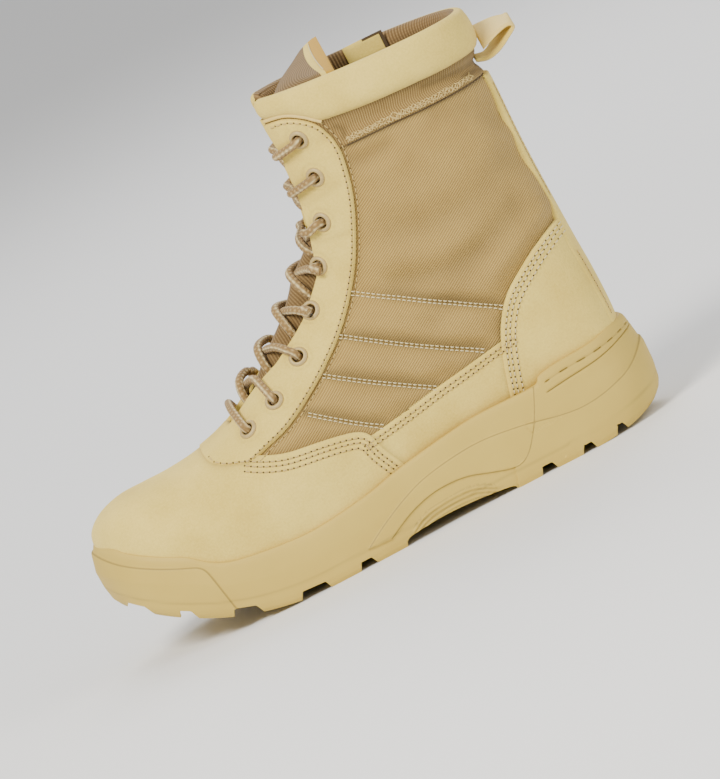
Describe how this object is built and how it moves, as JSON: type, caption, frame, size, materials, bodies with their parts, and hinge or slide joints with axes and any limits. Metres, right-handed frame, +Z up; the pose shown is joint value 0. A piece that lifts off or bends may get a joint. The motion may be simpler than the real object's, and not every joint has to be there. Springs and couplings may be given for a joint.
{
  "type": "combat boot",
  "caption": "Tall lace-up combat boot in tan suede and woven nylon on a lugged rubber sole, with a padded collar and a pull loop, left foot.",
  "frame": {"origin": "under the middle of the whole boot's box, on the ground it stands on", "axes": "+Z up, the toe points to -X and the outer side faces -Y"},
  "size_m": [0.3272, 0.1104, 0.2529],
  "materials": {
    "rubber_tan": "matt moulded rubber",
    "suede_tan": "brushed suede",
    "nylon_tan": "woven nylon",
    "band_tan": "ribbed woven band",
    "lining_brown": "ribbed mesh lining",
    "painted_metal_tan": "satin paint",
    "lace_brown": "braided cord"
  },
  "bodies": {
    "root": {"backstay": "suede_tan", "collar": "suede_tan", "collar_band": "band_tan", "collar_tab": "lining_brown", "eyelet_inner_1": "painted_metal_tan", "eyelet_inner_2": "painted_metal_tan", "eyelet_inner_3": "painted_metal_tan", "eyelet_inner_4": "painted_metal_tan", "eyelet_inner_5": "painted_metal_tan", "eyelet_inner_6": "painted_metal_tan", "eyelet_inner_7": "painted_metal_tan", "eyelet_inner_8": "painted_metal_tan", "eyelet_outer_1": "painted_metal_tan", "eyelet_outer_2": "painted_metal_tan", "eyelet_outer_3": "painted_metal_tan", "eyelet_outer_4": "painted_metal_tan", "eyelet_outer_5": "painted_metal_tan", "eyelet_outer_6": "painted_metal_tan", "eyelet_outer_7": "painted_metal_tan", "eyelet_outer_8": "painted_metal_tan", "eyestay": "suede_tan", "foxing_inner": "suede_tan", "foxing_outer": "suede_tan", "heel_counter_inner": "suede_tan", "heel_counter_outer": "suede_tan", "insole": "lining_brown", "lace_bar": "lace_brown", "lace_crossing_1": "lace_brown", "lace_crossing_2": "lace_brown", "lace_crossing_3": "lace_brown", "lace_crossing_4": "lace_brown", "lace_crossing_5": "lace_brown", "lace_crossing_6": "lace_brown", "lace_crossing_7": "lace_brown", "outsole": "rubber_tan", "pull_loop": "suede_tan", "tongue": "suede_tan", "upper": "nylon_tan", "vamp": "suede_tan"}
  },
  "joints": []
}
